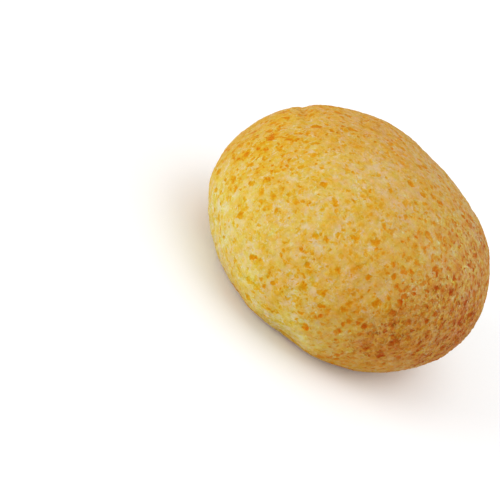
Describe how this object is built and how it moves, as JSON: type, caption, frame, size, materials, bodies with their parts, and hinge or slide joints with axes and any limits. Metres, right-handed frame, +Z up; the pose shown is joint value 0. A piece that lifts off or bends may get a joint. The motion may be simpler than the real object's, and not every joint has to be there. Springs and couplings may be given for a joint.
{
  "type": "pao de queijo cheese ball",
  "caption": "Small round baked cheese bread: a low dome with a thin golden crust covered in browned flecks, on a flat underside.",
  "frame": {"origin": "under the middle of the ball, on the flat underside that it rests on", "axes": "+X along the slightly longer side, +Z up through the crown"},
  "size_m": [0.0628, 0.06, 0.0371],
  "materials": {
    "crust": "matte baked crust, golden yellow with browned orange flecks and pale crazing"
  },
  "bodies": {
    "root": {"cheese_ball": "crust"}
  },
  "joints": []
}
